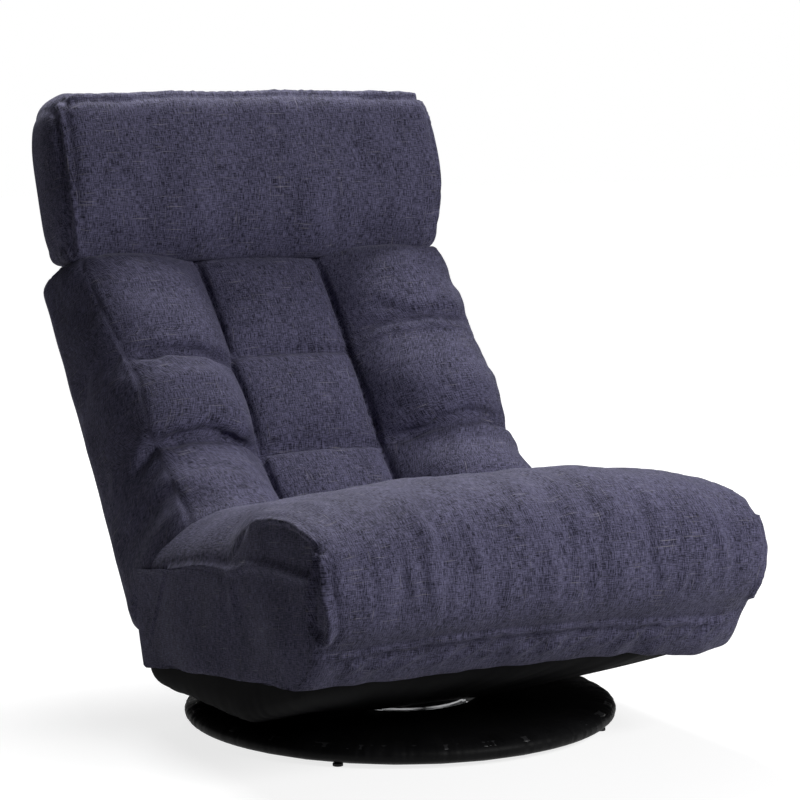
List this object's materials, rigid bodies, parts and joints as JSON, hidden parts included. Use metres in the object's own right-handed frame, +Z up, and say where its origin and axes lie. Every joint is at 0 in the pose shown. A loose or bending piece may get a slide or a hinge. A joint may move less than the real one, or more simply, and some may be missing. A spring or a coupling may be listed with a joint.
{
  "type": "swivel floor chair",
  "caption": "Legless folding floor chair with tufted linen cushions, ratchet hinges for back and head, and a round ball-bearing swivel base.",
  "frame": {"origin": "middle of the whole chair's box, on the floor; the swivel axis stands 74.5 mm in front of it", "axes": "+Z up, the chair faces -Y, +X to the right of the picture"},
  "size_m": [0.5612, 0.8893, 0.7445],
  "materials": {
    "linen": "navy slubbed linen-look weave over foam",
    "black_cloth": "black coated cloth",
    "frame_tube": "black powder coat",
    "painted_steel": "black powder coat",
    "zinc_steel": "zinc plated pressing",
    "steel_balls": "steel balls in a nylon cage",
    "rubber": "matt"
  },
  "bodies": {
    "base": {"base_ring": "frame_tube", "base_arms": "painted_steel", "base_cover": "black_cloth", "turntable_lower_plate": "zinc_steel", "base_screw_1": "zinc_steel", "base_screw_2": "zinc_steel", "base_screw_3": "zinc_steel", "base_screw_4": "zinc_steel", "rubber_foot_1": "rubber", "rubber_foot_2": "rubber", "rubber_foot_3": "rubber", "rubber_foot_4": "rubber"},
    "ball_race": {"ball_cage": "steel_balls"},
    "seat": {"turntable_upper_plate": "zinc_steel", "front_carrier_bar": "frame_tube", "rear_carrier_bar": "frame_tube", "seat_frame": "frame_tube", "seat_cushion": "linen", "seat_rear_cushion": "linen", "seat_dust_cover": "black_cloth", "carrier_screw_1": "zinc_steel", "carrier_screw_2": "zinc_steel", "carrier_screw_3": "zinc_steel", "carrier_screw_4": "zinc_steel", "recline_bracket_left": "painted_steel", "recline_bracket_right": "painted_steel", "recline_rivet_left": "zinc_steel", "recline_rivet_right": "zinc_steel", "recline_pawl_pin_left": "zinc_steel", "recline_pawl_pin_right": "zinc_steel", "recline_spring_left": "zinc_steel", "recline_spring_right": "zinc_steel"},
    "back": {"back_frame": "frame_tube", "back_cushion": "linen", "lumbar_cushion": "linen", "back_rear_cover": "linen", "recline_leaf_left": "zinc_steel", "recline_leaf_right": "zinc_steel", "head_bracket_left": "painted_steel", "head_bracket_right": "painted_steel", "head_rivet_left": "zinc_steel", "head_rivet_right": "zinc_steel", "head_pawl_pin_left": "zinc_steel", "head_pawl_pin_right": "zinc_steel", "head_spring_left": "zinc_steel", "head_spring_right": "zinc_steel"},
    "head": {"head_frame": "frame_tube", "head_cushion": "linen", "head_rear_cover": "linen", "head_leaf_left": "zinc_steel", "head_leaf_right": "zinc_steel"},
    "recline_pawl_left": {"recline_pawl_left": "zinc_steel"},
    "recline_pawl_right": {"recline_pawl_right": "zinc_steel"},
    "head_pawl_left": {"head_pawl_left": "zinc_steel"},
    "head_pawl_right": {"head_pawl_right": "zinc_steel"}
  },
  "joints": [
    {"name": "swivel", "type": "hinge", "parent": "base", "child": "seat", "pos_m": [0, -0.0745, 0.025], "axis": [0, 0, 1], "continuous": true},
    {"name": "ball_race_roll", "type": "hinge", "parent": "base", "child": "ball_race", "pos_m": [0, -0.0745, 0.0234], "axis": [0, 0, 1], "continuous": true},
    {"name": "recline", "type": "hinge", "parent": "seat", "child": "back", "pos_m": [0, 0.0775, 0.135], "axis": [1, 0, 0], "range_deg": [-54, 54], "deforming": ["seat_rear_cushion", "lumbar_cushion"]},
    {"name": "head_tilt", "type": "hinge", "parent": "back", "child": "head", "pos_m": [0, 0.35217, 0.52008], "axis": [1, 0, 0], "range_deg": [-18, 9], "deforming": ["head_cushion"]},
    {"name": "recline_pawl_left_lift", "type": "hinge", "parent": "seat", "child": "recline_pawl_left", "pos_m": [-0.235, 0.05656, 0.1022], "axis": [1, 0, 0], "range_deg": [0, 11]},
    {"name": "recline_pawl_right_lift", "type": "hinge", "parent": "seat", "child": "recline_pawl_right", "pos_m": [0.235, 0.05656, 0.1022], "axis": [1, 0, 0], "range_deg": [0, 11]},
    {"name": "head_pawl_left_lift", "type": "hinge", "parent": "back", "child": "head_pawl_left", "pos_m": [-0.235, 0.37218, 0.4867], "axis": [1, 0, 0], "range_deg": [0, 11]},
    {"name": "head_pawl_right_lift", "type": "hinge", "parent": "back", "child": "head_pawl_right", "pos_m": [0.235, 0.37218, 0.4867], "axis": [1, 0, 0], "range_deg": [0, 11]}
  ],
  "couplings": [
    {"joint": "ball_race_roll", "follows": "swivel", "ratio": 0.5},
    {"joint": "recline_pawl_right_lift", "follows": "recline_pawl_left_lift", "ratio": 1},
    {"joint": "head_pawl_right_lift", "follows": "head_pawl_left_lift", "ratio": 1}
  ]
}
